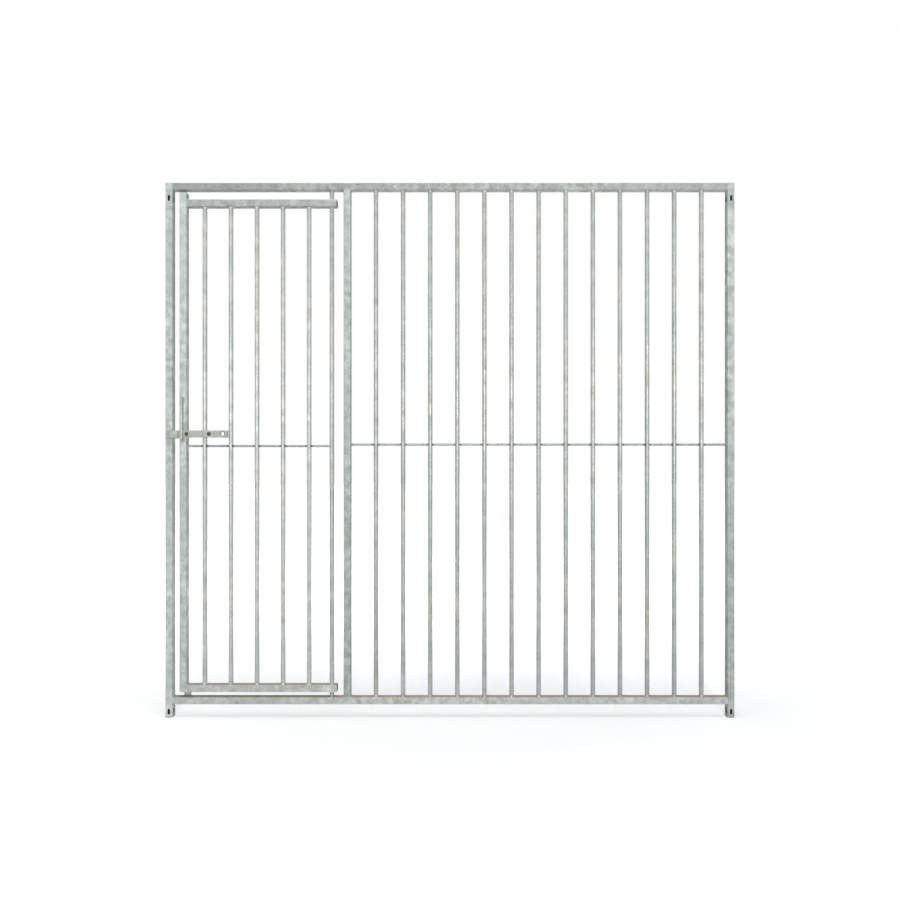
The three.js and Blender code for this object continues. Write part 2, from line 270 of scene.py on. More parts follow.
def tone_along(tree, place, axis, low, high, tones):
    along = add_node(tree, "ShaderNodeSeparateXYZ", None, {0: place}).outputs[axis]
    return add_node(
        tree, "ShaderNodeMapRange", SMOOTH,
        {"Value": along, "From Min": low, "From Max": high, "To Min": tones[0], "To Max": tones[1]},
    )


# Painted shade on a rod beside each bar of its row.
def shade_beside_bars(tree, place, first_mm, pitch_mm):
    x = add_node(tree, "ShaderNodeSeparateXYZ", None, {0: place}).outputs["X"]
    from_first = add_node(tree, "ShaderNodeMath", MINUS, {0: x, 1: first_mm * MM})
    from_bar = add_node(
        tree, "ShaderNodeMath", {"operation": "PINGPONG"},
        {0: from_first, 1: pitch_mm / 2 * MM},
    )
    return add_node(
        tree, "ShaderNodeMapRange", SMOOTH,
        {"Value": from_bar, "From Min": 11 * MM, "From Max": 15 * MM, "To Min": 0.35},
    )


# %% The galvanised finish as a function of its tints
UP_FACE_BROWN = "#B7A48A"
RIPPLE = 0.3 * MM


def galvanised_steel(
    name, tints, roughness, metal=0.08, cloud_mm=24, crystal_mm=8,
    spots=(), bars=None, tone=None, specular=0.5, underside=1.0,
):
    dull, bright, cool = tints
    material = bpy.data.materials.new(name)
    material.use_nodes = True
    tree = material.node_tree
    tree.nodes.clear()
    place = add_node(tree, "ShaderNodeTexCoord").outputs["Object"]
    up = add_node(
        tree, "ShaderNodeSeparateXYZ", None,
        {0: add_node(tree, "ShaderNodeNewGeometry").outputs["Normal"]},
    ).outputs["Z"]

    clouds = add_node(
        tree, "ShaderNodeTexNoise", None,
        {"Vector": place, "Scale": size_to_scale(cloud_mm), "Detail": 4, "Roughness": 0.55},
    ).outputs["Fac"]
    cloud_steps = add_node(tree, "ShaderNodeValToRGB", None, {"Fac": clouds})
    for step, position, tint in zip(cloud_steps.color_ramp.elements, (0.36, 0.66), (dull, bright)):
        step.position = position
        step.color = linear(tint)
    broad = cloudy(tree, place, 260, 2, (0.4, 0.68), (0, 0.75))
    tinted = add_node(
        tree, "ShaderNodeMix", {"data_type": "RGBA"},
        {"Factor": broad, "A": cloud_steps.outputs["Color"], "B": linear(cool)},
    )

    crystals = add_node(
        tree, "ShaderNodeTexVoronoi", None,
        {"Vector": place, "Scale": size_to_scale(crystal_mm), "Randomness": 1.0},
    )
    crystal_grey = add_node(tree, "ShaderNodeRGBToBW", None, {"Color": crystals.outputs["Color"]})
    light = add_node(
        tree, "ShaderNodeMapRange", None,
        {"Value": crystal_grey, "To Min": 0.91, "To Max": 1.07},
    )
    stretched = add_node(tree, "ShaderNodeMapping", None, {"Vector": place, "Scale": (1, 1, 0.08)})
    # Faces that look down are made brighter by the underside factor: painted light.
    painted_underside_light = add_node(
        tree, "ShaderNodeMapRange", None,
        {"Value": up, "From Min": -0.85, "From Max": -0.99, "To Min": 1.0, "To Max": underside},
    )
    marks = [cloudy(tree, stretched, 9, 3, (0.3, 0.7), (0.94, 1.05)), painted_underside_light]
    marks += [darkened_spot(tree, place, *spot) for spot in spots]
    if bars:
        marks.append(shade_beside_bars(tree, place, *bars))
    if tone:
        marks.append(tone_along(tree, place, *tone))
    for mark in marks:
        light = add_node(tree, "ShaderNodeMath", TIMES, {0: light, 1: mark})
    clean = add_node(tree, "ShaderNodeVectorMath", SCALED, {0: tinted.outputs["Result"], "Scale": light})

    brown_patches = cloudy(tree, place, 14, 5, (0.3, 0.62), (0.45, 0.95), 0.65)
    brown_on_top = add_node(
        tree, "ShaderNodeMapRange", None,
        {"Value": up, "From Min": 0.85, "From Max": 0.99, "To Max": brown_patches},
    )
    colour = add_node(
        tree, "ShaderNodeMix", {"data_type": "RGBA"},
        {"Factor": brown_on_top, "A": clean, "B": linear(UP_FACE_BROWN)},
    )
    gloss = add_node(
        tree, "ShaderNodeMapRange", None,
        {
            "Value": clouds, "From Min": 0.3, "From Max": 0.7,
            "To Min": roughness + 0.08, "To Max": roughness - 0.08,
        },
    )
    relief = add_node(
        tree, "ShaderNodeTexNoise", None,
        {"Vector": place, "Scale": size_to_scale(6), "Detail": 4, "Roughness": 0.6},
    )
    bump = add_node(
        tree, "ShaderNodeBump", None,
        {"Height": relief.outputs["Fac"], "Strength": 0.25, "Distance": RIPPLE},
    )
    steel = add_node(
        tree, "ShaderNodeBsdfPrincipled", None,
        {
            "Base Color": colour.outputs["Result"], "Metallic": metal, "Roughness": gloss,
            "Specular IOR Level": specular, "Normal": bump,
        },
    )
    add_node(tree, "ShaderNodeOutputMaterial", None, {"Surface": steel})
    print("finish:", name)
    return material


# %% The finishes of the square tubes
# A spot has its centre in millimetres, the weight of each direction in the distance from it, its
# radius, and the share of light that is left in its middle. A spot on a front counts depth four
# times, so that it stays shallow and doesn't come out at the back of a plate. One that reaches
# round a corner counts depth half, and one that serves a whole row of bars doesn't count x at all.
ON_FRONT = (1, 4, 1)
ROUND_CORNER = (1, 0.5, 1)
ALL_ALONG_X = (0, 1, 1)
# Square tube: the broadest surfaces, a mid grey with a green-blue tint. The spots are two pinholes in
# the rails, a fleck of thick light zinc, and painted shade on the stile behind the outer lock hole.
tube_spots = [
    ((-748, -7.5, 54.5), ON_FRONT, 2.4, 0.2), ((-325, -7.5, 1874), ON_FRONT, 2.4, 0.2),
    ((-195, -7.5, 1868), ON_FRONT, 5, 1.3), ((-925, -7.5, 997), ROUND_CORNER, 8.5, 0.2),
]
TUBE_TINTS = ("#A0A6A1", "#CACEC9", "#ADB4B2")
# Each tube has its own tones, so it gets darker or lighter towards one end. The tones are the share of
# light at the low or left end of a tube and at its high or right end. On the top rail, faces that look
# down are made 1.5 times as bright: painted light.
TUBE_TONES = {
    "left_post": (1.1, 1.0), "right_post": (0.82, 1.02), "door_post": (0.77, 0.95),
    "top_rail": (0.7, 0.82), "bottom_rail": (0.96, 1.0),
    "door_stile": (1.03, 1.15), "door_top_rail": (0.85, 0.87), "door_bottom_rail": (1.0, 1.0),
}
tube_finishes = {}
for tube, tones in TUBE_TONES.items():
    tube_low, tube_high = node_box(tube)
    along = 0 if tube.endswith("rail") else 2
    tube_finishes[tube] = galvanised_steel(
        f"galvanised_{tube}", TUBE_TINTS, 0.58, spots=tube_spots,
        tone=("XYZ"[along], tube_low[along], tube_high[along], tones),
        specular=0.2, underside=1.5 if tube == "top_rail" else 1.0,
    )
# Inside the tubes and on the walls of their slots and holes the zinc is rough and nearly black: painted
# shade for these hollows.
painted_shade_inside = galvanised_steel(
    "galvanised_tube_inside", ("#2B2E2D", "#3C403E", "#333635"), 0.75, 0.0, 9, 4
)

# %% The finishes of bars, flat steel, welds and the bolt
# Round bars drain fast and keep a thinner, somewhat brighter skin. Round the hole of the tie rod, which
# lies at 960 mm in the panel and 955 mm in the door, painted shade darkens the bar. The panel's bars
# also get darker towards the bottom.
BAR_TINTS = ("#9DA09A", "#BFC1BB", "#A4A9A8")
bar_look = {"roughness": 0.34, "cloud_mm": 45, "crystal_mm": 6}
zinc_bar = galvanised_steel("galvanised_bar", BAR_TINTS, **bar_look)
zinc_panel_bar = galvanised_steel(
    "galvanised_panel_bar", BAR_TINTS, **bar_look,
    spots=[((0, 5, 960), ALL_ALONG_X, 6.3, 0.2)], tone=("Z", 0.3, 1.6, (0.92, 1.02)),
)
zinc_door_bar = galvanised_steel(
    "galvanised_door_bar", ("#A7AAA4", "#CACCC6", "#AEB3B1"), **bar_look,
    spots=[((0, 5, 955), ALL_ALONG_X, 6.3, 0.2)],
)
# The tie rods are drawn steel, which takes a thin and darker coat. Beside every bar that they pass
# through, painted shade darkens the rod, placed by the first bar and the pitch of its row.
ROD_TINTS = ("#8E9491", "#A9AFAC", "#989F9D")
rod_look = {"roughness": 0.45, "metal": 0.1, "cloud_mm": 20, "crystal_mm": 5}
zinc_panel_rod = galvanised_steel("galvanised_panel_rod", ROD_TINTS, **rod_look, bars=(-261.29, 95.714))
zinc_door_rod = galvanised_steel("galvanised_door_rod", ROD_TINTS, **rod_look, bars=(-865.3, 92))
# Flat bar of the latch and keeper: rolled stock that comes out warmer and duller. The spots are painted
# shade on the pivot plate behind the inner lock hole, and a painted shadow round the bolt's head on the
# latch bar.
zinc_flat = galvanised_steel(
    "galvanised_flat", ("#9C9F97", "#B2B5AC", "#A4A7A0"), 0.55, cloud_mm=20, crystal_mm=5,
    spots=[((-847, -7.5, 997), ON_FRONT, 7.5, 0.2), ((-796.1, -13.8, 997), ON_FRONT, 10, 0.4)],
)
# Weld metal takes zinc unevenly and ends up mottled, with light and dark patches side by side.
zinc_weld = galvanised_steel("galvanised_weld", ("#9CA29D", "#CDD1CC", "#A9AFAD"), 0.5, 0.1, 6, 2.5)
# The bolt, washer and nut are bright zinc-plated, much smoother than the dipped steel.
zinc_bright = galvanised_steel("bright_zinc_plate", ("#D2D3CA", "#E2E3DB", "#D8D9D4"), 0.34, 0.3, 5, 2)


# %% [markdown]
# ## Square tube
#
# The tubes' shapes are right in CAD, down to the slots. Their corners are three flat strips each,
# though, and would catch the light as facets. A copy of each mesh is merged and shaded smooth, and
# the Weighted Normal modifier lets the broad flat faces keep their own direction, so that only the
# narrow corner strips blend. That is how game artists round an edge without a single new face.

# %% Smooth copies of the tubes
TUBES = {
    "frame": ["left_post", "right_post", "door_post", "top_rail", "bottom_rail"],
    "door": ["door_stile", "door_top_rail", "door_bottom_rail"],
}


def rest_on(body, piece, material, *nodes):
    piece.data.materials.clear()
    piece.data.materials.append(material)
    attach(piece, body)
    if nodes:
        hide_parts(*nodes)
    return piece


def linked(name, mesh):
    piece = bpy.data.objects.new(name, mesh)
    scene.collection.objects.link(piece)
    return piece


def bake_modifiers(piece):
    graph = bpy.context.evaluated_depsgraph_get()
    finished = bpy.data.meshes.new_from_object(piece.evaluated_get(graph))
    piece.modifiers.clear()
    piece.data = finished
    return piece


def smooth_below(work, degrees):
    for face in work.faces:
        face.smooth = True
    for edge in work.edges:
        edge.smooth = len(edge.link_faces) == 2 and edge.calc_face_angle(0) < math.radians(degrees)


def smooth_copy(node):
    mesh = frame["nodes"][node].data.copy()
    work = bmesh.new()
    work.from_mesh(mesh)
    bmesh.ops.remove_doubles(work, verts=work.verts, dist=0.002 * MM)
    bmesh.ops.dissolve_limit(work, angle_limit=math.radians(1), verts=work.verts, edges=work.edges)
    smooth_below(work, 50)
    work.to_mesh(mesh)
    work.free()
    piece = linked(f"{node}_zinc", mesh)
    shading = piece.modifiers.new("keep flats flat", "WEIGHTED_NORMAL")
    shading.weight = 100
    shading.keep_sharp = True
    return bake_modifiers(piece)


# The flat of a side ends this far from its middle. Past the outer skin, faces on the flat are the
# walls of slots and holes, and deeper ones are the inside of the tube.
FLAT_HALF = 9.3 * MM
OUTER_SKIN = 0.5 * MM
CORNER_DEPTH = 1.5 * MM


# Faces inside a tube and on the walls of its openings get the near-black painted shade.
def darken_inside(piece):
    low, high = node_box(piece.name.removesuffix("_zinc"))
    middle = (low + high) / 2
    long_axis = max(range(3), key=lambda axis: high[axis] - low[axis])
    short_axes = [axis for axis in range(3) if axis != long_axis]
    piece.data.materials.append(painted_shade_inside)
    for face in piece.data.polygons:
        place = face.center
        depth = min(min(place[a] - low[a], high[a] - place[a]) for a in short_axes)
        off_middle = min(abs(place[a] - middle[a]) for a in short_axes)
        from_end = min(place[long_axis] - low[long_axis], high[long_axis] - place[long_axis])
        cut_end = abs(face.normal[long_axis]) > 0.9 and from_end < MM
        in_opening = depth > OUTER_SKIN and off_middle < FLAT_HALF
        if not cut_end and (depth > CORNER_DEPTH or in_opening):
            face.material_index = 1


for body, nodes in TUBES.items():
    for node in nodes:
        darken_inside(rest_on(body, smooth_copy(node), tube_finishes[node], node))
print("tubes:", sum(len(nodes) for nodes in TUBES.values()))


# %% [markdown]
# ## A Geometry Nodes helper
#
# A tree is built once, with named inputs, and used on several hosts. A modifier's input is set by
# the socket's identifier before anything is evaluated. The result becomes a plain mesh and the
# modifier goes away, so nothing live is left on the finished piece.

# %% Trees with named inputs, and how a host is turned into a mesh
def new_tree(name, sockets):
    tree = bpy.data.node_groups.new(name, "GeometryNodeTree")
    tree.interface.new_socket("Geometry", in_out="INPUT", socket_type="NodeSocketGeometry")
    tree.interface.new_socket("Geometry", in_out="OUTPUT", socket_type="NodeSocketGeometry")
    for label, kind in sockets.items():
        tree.interface.new_socket(label, in_out="INPUT", socket_type="NodeSocket" + kind)
    return tree, add_node(tree, "NodeGroupInput").outputs


def close_tree(tree, geometry, material):
    real = add_node(tree, "GeometryNodeRealizeInstances", None, {"Geometry": geometry})
    skin = add_node(tree, "GeometryNodeSetMaterial", None, {"Geometry": real, "Material": material})
    add_node(tree, "NodeGroupOutput", None, {"Geometry": skin})
    print(tree.name, "has", len(tree.nodes), "nodes")


def grow(name, tree, values, host_mesh=None):
    host = linked(name, host_mesh or bpy.data.meshes.new(name))
    modifier = host.modifiers.new(tree.name, "NODES")
    modifier.node_group = tree
    for item in tree.interface.items_tree:
        if item.item_type == "SOCKET" and item.in_out == "INPUT" and item.name in values:
            modifier[item.identifier] = values[item.name]
    bake_modifiers(host)
    print(name, "has", len(host.data.polygons), "faces")
    return host


# %% [markdown]
# ## Round bars
#
# Eighteen bars stand in two rows, one in the panel and one in the door. Each is a 16 mm tube, cut
# square, welded all round at both ends, and drilled across at half height for the tie rod. One
# Geometry Nodes tree makes a bar, drills it, adds a weld cone at each end and repeats it at the
# pitch of its row. The weld cones are made real before noise moves their points, so no two match.

# %% The tree for a row of welded bars
bar_tree, row = new_tree(
    "row_of_welded_bars",
    {
        "Bars": "Int",
        "First Bar": "Vector",
        "Pitch": "Float",
        "Length": "Float",
        "Bar Diameter": "Float",
        "Weld Leg": "Float",
        "Weld Rise": "Float",
        "Tie Height": "Float",
        "Tie Hole": "Float",
        "Seed": "Int",
        "Material": "Material",
    },
)

bar_radius = add_node(bar_tree, "ShaderNodeMath", TIMES, {0: row["Bar Diameter"], 1: 0.5})
hole_radius = add_node(bar_tree, "ShaderNodeMath", TIMES, {0: row["Tie Hole"], 1: 0.5})
top_end = add_node(bar_tree, "ShaderNodeCombineXYZ", None, {"Z": row["Length"]})
tie_place = add_node(bar_tree, "ShaderNodeCombineXYZ", None, {"Z": row["Tie Height"]})
axis_line = add_node(bar_tree, "GeometryNodeCurvePrimitiveLine", None, {"End": top_end})
axis_steps = add_node(bar_tree, "GeometryNodeResampleCurve", None, {"Curve": axis_line, "Count": 30})
section = add_node(
    bar_tree, "GeometryNodeCurvePrimitiveCircle", None, {"Resolution": 28, "Radius": bar_radius}
)
bar_body = add_node(
    bar_tree, "GeometryNodeCurveToMesh", None,
    {"Curve": axis_steps, "Profile Curve": section, "Fill Caps": True},
)
drill = add_node(
    bar_tree, "GeometryNodeMeshCylinder", None, {"Vertices": 20, "Radius": hole_radius, "Depth": 50 * MM}
)
drill_place = add_node(
    bar_tree, "GeometryNodeTransform", None,
    {"Geometry": drill, "Translation": tie_place, "Rotation": (0, math.radians(90), 0)},
)
drilled = add_node(
    bar_tree, "GeometryNodeMeshBoolean", {"operation": "DIFFERENCE"},
    {"Mesh 1": bar_body, "Mesh 2": drill_place},
)

# %% Its weld cones, and the row itself
narrow = add_node(bar_tree, "ShaderNodeMath", {"operation": "ADD"}, {0: bar_radius, 1: 0.2 * MM})
wide = add_node(bar_tree, "ShaderNodeMath", {"operation": "ADD"}, {0: bar_radius, 1: row["Weld Leg"]})
cone = add_node(
    bar_tree, "GeometryNodeMeshCone", {"fill_type": "NGON"},
    {
        "Vertices": 28, "Side Segments": 5, "Depth": row["Weld Rise"],
        "Radius Top": narrow, "Radius Bottom": wide,
    },
)
turned_cone = add_node(
    bar_tree, "GeometryNodeTransform", None,
    {"Geometry": cone, "Translation": top_end, "Rotation": (math.radians(180), 0, 0)},
)
both_cones = add_node(bar_tree, "GeometryNodeJoinGeometry")
bar_tree.links.new(cone.outputs[0], both_cones.inputs[0])
bar_tree.links.new(turned_cone.outputs[0], both_cones.inputs[0])

stations = add_node(
    bar_tree, "GeometryNodeMeshLine", {"mode": "OFFSET"},
    {
        "Count": row["Bars"],
        "Start Location": row["First Bar"],
        "Offset": add_node(bar_tree, "ShaderNodeCombineXYZ", None, {"X": row["Pitch"]}),
    },
)
bars = add_node(
    bar_tree, "GeometryNodeInstanceOnPoints", None,
    {"Points": stations, "Instance": drilled},
)
cones = add_node(
    bar_tree, "GeometryNodeInstanceOnPoints", None,
    {"Points": stations, "Instance": both_cones},
)
real_cones = add_node(bar_tree, "GeometryNodeRealizeInstances", None, {"Geometry": cones})
lumps = add_node(
    bar_tree, "ShaderNodeTexNoise", {"noise_dimensions": "4D"},
    {"W": row["Seed"], "Scale": size_to_scale(5), "Detail": 2},
)
in_or_out = add_node(bar_tree, "ShaderNodeMath", MINUS, {0: lumps.outputs["Fac"], 1: 0.5})
lump_size = add_node(bar_tree, "ShaderNodeMath", TIMES, {0: in_or_out, 1: 2.6 * MM})
facing = add_node(bar_tree, "GeometryNodeInputNormal")
sideways = add_node(bar_tree, "ShaderNodeVectorMath", TIMES, {0: facing, 1: (1, 1, 0)})
lump_move = add_node(bar_tree, "ShaderNodeVectorMath", SCALED, {0: sideways, "Scale": lump_size})
lumpy_cones = add_node(
    bar_tree, "GeometryNodeSetPosition", None,
    {"Geometry": real_cones, "Offset": lump_move},
)
whole_row = add_node(bar_tree, "GeometryNodeJoinGeometry")
bar_tree.links.new(bars.outputs[0], whole_row.inputs[0])
bar_tree.links.new(lumpy_cones.outputs[0], whole_row.inputs[0])
close_tree(bar_tree, whole_row, row["Material"])


# %% The two rows of bars
def shade_by_angle(piece, degrees):
    work = bmesh.new()
    work.from_mesh(piece.data)
    smooth_below(work, degrees)
    work.to_mesh(piece.data)
    work.free()
    return piece


BAR_DIAMETER = 16 * MM
TIE_HOLE = 11.5 * MM
WELD_RISE = 5 * MM
# The CAD bars flare at their welds. The cones stay this far inside the flare, to leave room for
# their lumps.
LUMP_ROOM = 0.9 * MM


def bar_row(name, body, nodes, tie_node, finish, seed):
    low, high = node_box(nodes[0])
    last_low, _ = node_box(nodes[-1])
    tie_low, tie_high = node_box(tie_node)
    flare = high.x - low.x
    row_piece = grow(
        name, bar_tree,
        {
            "Bars": len(nodes),
            "First Bar": ((low.x + high.x) / 2, middle_y, low.z),
            "Pitch": (last_low.x - low.x) / (len(nodes) - 1),
            "Length": high.z - low.z,
            "Bar Diameter": BAR_DIAMETER,
            "Weld Leg": (flare - BAR_DIAMETER) / 2 - LUMP_ROOM,
            "Weld Rise": WELD_RISE,
            "Tie Height": (tie_low.z + tie_high.z) / 2 - low.z,
            "Tie Hole": TIE_HOLE,
            "Seed": seed,
            "Material": finish,
        },
    )
    return rest_on(body, shade_by_angle(row_piece, 40), finish, *nodes)


panel_bars = [f"panel_bar_{i:02d}" for i in range(1, 14)]
door_bars = [f"door_bar_{i}" for i in range(1, 6)]
bar_row("panel_bars", "frame", panel_bars, "panel_tie_rod", zinc_panel_bar, 3)
bar_row("door_bars", "door", door_bars, "door_tie_rod", zinc_door_bar, 11)


# %% [markdown]
# ## Pivot bar, tie rods and staple
#
# These are plain rods, straight or bent. A curve with a round bevel is the shortest way to a rod:
# its points lie on the rod's axis, and a few of them in each bend round it off. The ends are
# filled, and the curve becomes a mesh before it rides on its body.

# %% Rods from curves
def closed(mesh):
    work = bmesh.new()
    work.from_mesh(mesh)
    bmesh.ops.remove_doubles(work, verts=work.verts, dist=0.01 * MM)
    bmesh.ops.recalc_face_normals(work, faces=work.faces)
    work.to_mesh(mesh)
    work.free()
    return mesh


def add_line(curve, points, cyclic=False):
    spline = curve.splines.new("POLY")
    spline.points.add(len(points) - 1)
    spline.use_cyclic_u = cyclic
    for point, place in zip(spline.points, points):
        point.co = (*place, 1) if len(place) == 3 else (*place, 0, 1)


def meshed(name, curve, sharp_from):
    host = linked(name + "_curve", curve)
    graph = bpy.context.evaluated_depsgraph_get()
    mesh = bpy.data.meshes.new_from_object(host.evaluated_get(graph))
    bpy.data.objects.remove(host)
    return shade_by_angle(linked(name, closed(mesh)), sharp_from)


def rod(name, points, diameter):
    curve = bpy.data.curves.new(name, "CURVE")
    curve.dimensions = "3D"
    curve.bevel_depth = diameter / 2
    curve.bevel_resolution = 6
    curve.use_fill_caps = True
    add_line(curve, points)
    return meshed(name, curve, 50)


def bent(start, corner, end, radius, steps=7):
    into = (start - corner).normalized()
    out = (end - corner).normalized()
    points = []
    for i in range(steps + 1):
        t = i / steps
        points.append(corner + into * radius * (1 - t) ** 2 + out * radius * t**2)
    return points


def straight_rod(node, material, body):
    low, high = node_box(node)
    centre = (low + high) / 2
    along = max(range(3), key=lambda axis: high[axis] - low[axis])
    across = min(high[axis] - low[axis] for axis in range(3))
    start, end = centre.copy(), centre.copy()
    start[along], end[along] = low[along], high[along]
    steps = [start.lerp(end, i / 12) for i in range(13)]
    return rest_on(body, rod(f"{node}_round", steps, across), material, node)


straight_rod("panel_tie_rod", zinc_panel_rod, "frame")
straight_rod("door_tie_rod", zinc_door_rod, "door")
straight_rod("door_pivot_bar", zinc_bar, "door")

staple_low, staple_high = node_box("latch_staple")
rod_radius = (staple_high.x - staple_low.x) / 2
staple_x = (staple_low.x + staple_high.x) / 2
staple_y = staple_low.y + rod_radius
STAPLE_BEND = 7 * MM
foot_z, head_z = staple_low.z + rod_radius, staple_high.z - rod_radius
corner_places = ((front_y, foot_z), (staple_y, foot_z), (staple_y, head_z), (front_y, head_z))
corners = [Vector((staple_x, y, z)) for y, z in corner_places]
bends = bent(*corners[:3], STAPLE_BEND) + bent(*corners[1:], STAPLE_BEND)
staple_path = [corners[0], *bends, corners[3]]
rest_on("door", rod("latch_staple_round", staple_path, 2 * rod_radius), zinc_bar, "latch_staple")
print("rods: 4")

# %% [markdown]
# ## Flat steel
#
# The latch bar, its pivot plate, the keeper and the door stop are cut from flat bar. A flat curve
# with its holes as further splines, given a thickness and a small bevel, makes such a plate with
# clean round holes and edges that the zinc has softened. It is drawn flat and stood up afterwards.


# %% Flat bar with holes
def outline_points(width, height, radius, steps=6):
    points = []
    right, top = width / 2 - radius, height / 2 - radius
    for x, y, first in ((right, top, 0), (-right, top, 90), (-right, -top, 180), (right, -top, 270)):
        for i in range(steps + 1):
            angle = math.radians(first + 90 * i / steps)
            points.append((x + radius * math.cos(angle), y + radius * math.sin(angle)))
    return points


def ring_points(x, y, radius, steps=36):
    angles = [-2 * math.pi * i / steps for i in range(steps)]
    return [(x + radius * math.cos(a), y + radius * math.sin(a)) for a in angles]


def plate(name, outlines, thickness, edge):
    curve = bpy.data.curves.new(name, "CURVE")
    curve.dimensions = "2D"
    curve.fill_mode = "BOTH"
    curve.extrude = thickness / 2 - edge
    curve.bevel_depth = edge
    curve.bevel_resolution = 2
    curve.offset = -edge
    for points in outlines:
        add_line(curve, points, cyclic=True)
    return meshed(name, curve, 35)


def stand_up(piece, x, y, z):
    for vertex in piece.data.vertices:
        flat = vertex.co.copy()
        vertex.co = (flat.x + x, y - flat.z, flat.y + z)
    return piece


def standing_plate(node, body, radius, holes, edge=0.6 * MM):
    low, high = node_box(node)
    centre = (low + high) / 2
    outlines = [outline_points(high.x - low.x, high.z - low.z, radius)]
    outlines += [ring_points(x - centre.x, 0, across / 2) for x, across in holes]
    piece = plate(f"{node}_flat", outlines, high.y - low.y, edge)
    stand_up(piece, centre.x, centre.y, centre.z)
    return rest_on(body, piece, zinc_flat, node)


BOLT_HOLE = 8.6 * MM
LOCK_HOLE = 15 * MM
bolt_low, bolt_high = node_box("latch_bolt")
bolt_x = (bolt_low.x + bolt_high.x) / 2
latch_z = (bolt_low.z + bolt_high.z) / 2
lock_holes = []
for opening in frame["record"]["physics"]["openings"]:
    if opening["name"].startswith("lock_hole"):
        hole_low, hole_high = opening["box_m"]
        lock_holes.append(((hole_low[0] + hole_high[0]) / 2, LOCK_HOLE))
standing_plate("latch_bar", "latch", 5 * MM, [*lock_holes, (bolt_x, BOLT_HOLE)])
standing_plate("latch_pivot_plate", "door", 1.5 * MM, [(bolt_x, BOLT_HOLE)])
standing_plate("door_stop", "frame", 1.2 * MM, [])
print("latch bar, pivot plate and door stop")


# %% The keeper: an L of 3 mm flat bar
def along_x(piece, x):
    for vertex in piece.data.vertices:
        flat = vertex.co.copy()
        vertex.co = (x - flat.z, flat.x, flat.y)
    return piece


keeper_low, keeper_high = node_box("latch_keeper")
steel = 3 * MM
bend = 1.5 * steel
bend_centre = (keeper_low.y + bend, keeper_low.z + bend)
keeper_outline = [
    (front_y, keeper_low.z + steel),
    (keeper_low.y + steel, keeper_low.z + steel),
    (keeper_low.y + steel, keeper_high.z),
    (keeper_low.y, keeper_high.z),
]
for i in range(7):
    a = math.radians(180 + 90 * i / 6)
    keeper_outline.append((bend_centre[0] + bend * math.cos(a), bend_centre[1] + bend * math.sin(a)))
keeper_outline.append((front_y, keeper_low.z))
keeper = plate("latch_keeper_flat", [keeper_outline], keeper_high.x - keeper_low.x, 0.4 * MM)
along_x(keeper, (keeper_low.x + keeper_high.x) / 2)
closed(keeper.data)
rest_on("frame", keeper, zinc_flat, "latch_keeper")
print("keeper:", len(keeper.data.polygons), "faces")

# %% [markdown]
# ## Bolt, washer and nut
#
# The latch turns on a round-headed M8 bolt. Its head is a shallow dome, a shape of revolution, so
# a short profile is turned round the bolt's own axis. Blender's Spin may number its points in
# another order on every run, so the rings are set out one by one. The nut is a six-sided prism
# whose corners are taken off by a gentle cone, which the bevel of a flat curve comes close to.


# %% Turned pieces
def turned(name, profile, x, z, steps=40):
    work = bmesh.new()
    angles = [2 * math.pi * i / steps for i in range(steps)]
    rings = []
    for radius, y in profile:
        if rings and (radius, y) == profile[0]:
            rings.append(rings[0])
        elif radius == 0:
            rings.append([work.verts.new((x, y, z))] * steps)
        else:
            round_axis = [(x + radius * math.cos(a), y, z - radius * math.sin(a)) for a in angles]
            rings.append([work.verts.new(place) for place in round_axis])
    for one, other in zip(rings, rings[1:]):
        for i in range(steps):
            face = dict.fromkeys((one[i - 1], one[i], other[i], other[i - 1]))
            work.faces.new(list(face))
    bmesh.ops.recalc_face_normals(work, faces=work.faces)
    mesh = bpy.data.meshes.new(name)
    work.to_mesh(mesh)
    work.free()
    return shade_by_angle(linked(name, mesh), 42)


SHANK = 4 * MM
THREAD_ROOT = 3.45 * MM
THREAD_PITCH = 1.1 * MM
TIP = 1.6 * MM
DOME_HEIGHT = 3.9 * MM
RIM_HEIGHT = 0.6 * MM
head_radius = (bolt_high.x - bolt_low.x) / 2
head_back = bolt_low.y + DOME_HEIGHT + RIM_HEIGHT
dome = []
for i in range(9):
    a = math.radians(10 * i)
    dome.append((head_radius * math.sin(a), head_back - RIM_HEIGHT - DOME_HEIGHT * math.cos(a)))
dome += [(head_radius, head_back - 0.5 * MM), (head_radius - 0.2 * MM, head_back)]
shank = []
turn = head_back
while turn < bolt_high.y - TIP:
    shank += [(SHANK, turn), (THREAD_ROOT, turn + THREAD_PITCH / 2)]
    turn += THREAD_PITCH
shank += [(3.4 * MM, bolt_high.y - 0.3 * MM), (3 * MM, bolt_high.y), (0, bolt_high.y)]
bolt = turned("latch_bolt_domed", dome + shank, bolt_x, latch_z)
rest_on("door", bolt, zinc_bright, "latch_bolt")

BORE = 4.3 * MM
washer_low, washer_high = node_box("latch_washer")
washer_radius = (washer_high.x - washer_low.x) / 2
washer_ring = [
    (BORE, washer_low.y), (washer_radius - 0.3 * MM, washer_low.y),
    (washer_radius, washer_low.y + 0.3 * MM), (washer_radius, washer_high.y),
    (BORE, washer_high.y), (BORE, washer_low.y),
]
washer = turned("latch_washer_ring", washer_ring, bolt_x, latch_z)
rest_on("door", washer, zinc_bright, "latch_washer")

nut_low, nut_high = node_box("latch_nut")
nut_radius = (nut_high.x - nut_low.x) / 2
sixths = [math.radians(60 * i) for i in range(6)]
hexagon = [(nut_radius * math.cos(a), nut_radius * math.sin(a)) for a in sixths]
nut = plate("latch_nut_hex", [hexagon, ring_points(0, 0, BORE)], nut_high.y - nut_low.y, 0.7 * MM)
stand_up(nut, bolt_x, (nut_low.y + nut_high.y) / 2, latch_z)
rest_on("door", nut, zinc_bright, "latch_nut")
print("bolt, washer and nut:", [len(piece.data.polygons) for piece in (bolt, washer, nut)], "faces")

